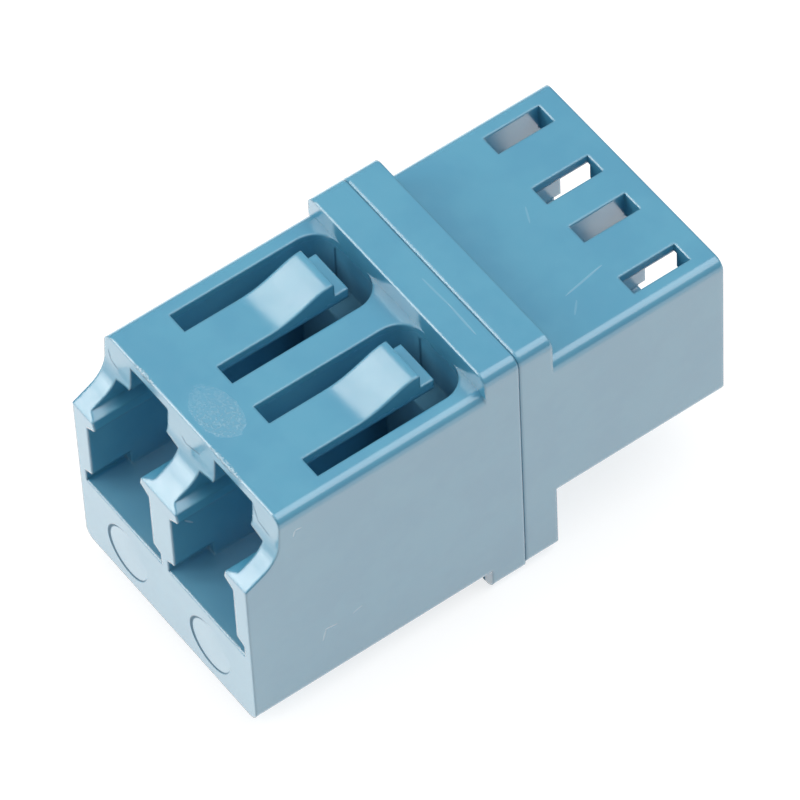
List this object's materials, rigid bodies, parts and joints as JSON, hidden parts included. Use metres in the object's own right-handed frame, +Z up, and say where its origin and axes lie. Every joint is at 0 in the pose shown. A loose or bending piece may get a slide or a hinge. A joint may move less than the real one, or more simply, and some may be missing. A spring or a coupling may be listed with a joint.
{
  "type": "fibre optic adapter",
  "caption": "Duplex LC fibre adapter in moulded plastic: a scooped front half and a lower rear half joined at a panel flange, with sprung panel tongues, latch windows and split sleeves inside.",
  "frame": {"origin": "under the middle of the adapter's bounding box, level with the underside of the flange's front half", "axes": "+X across the two sockets to the right seen from the front mouths, +Y from the front mouths to the rear mouths, +Z up towards the latch side"},
  "size_m": [0.013, 0.0256, 0.0151],
  "materials": {
    "housing": "satin, fine moulded texture",
    "sleeve": "polished"
  },
  "bodies": {
    "root": {"front_housing": "housing", "rear_housing": "housing", "alignment_sleeve_left": "sleeve", "alignment_sleeve_right": "sleeve"}
  },
  "joints": []
}
